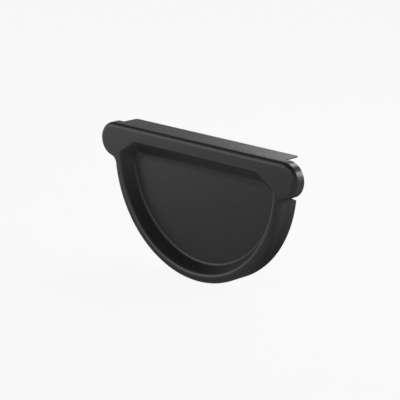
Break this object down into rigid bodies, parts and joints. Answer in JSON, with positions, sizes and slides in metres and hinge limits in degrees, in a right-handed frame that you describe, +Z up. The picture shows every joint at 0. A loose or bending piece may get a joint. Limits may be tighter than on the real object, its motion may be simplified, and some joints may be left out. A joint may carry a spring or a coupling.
{
  "type": "gutter end cap",
  "caption": "Half-round gutter end cap drawn from one sheet: recessed pan, rounded rim with a round ear at each side, bent strip below and straight flange on top.",
  "frame": {"origin": "on the gutter's axis, in the plane of the groove's floor, where the gutter's cut end stops", "axes": "+X across the gutter, +Y along the gutter's axis from the cap into the gutter, +Z up as installed; the outer face looks along -Y"},
  "size_m": [0.1488, 0.0166, 0.0786],
  "materials": {
    "painted_sheet": "satin graphite-grey coating with a fine grain"
  },
  "bodies": {
    "root": {"end_cap": "painted_sheet"}
  },
  "joints": []
}
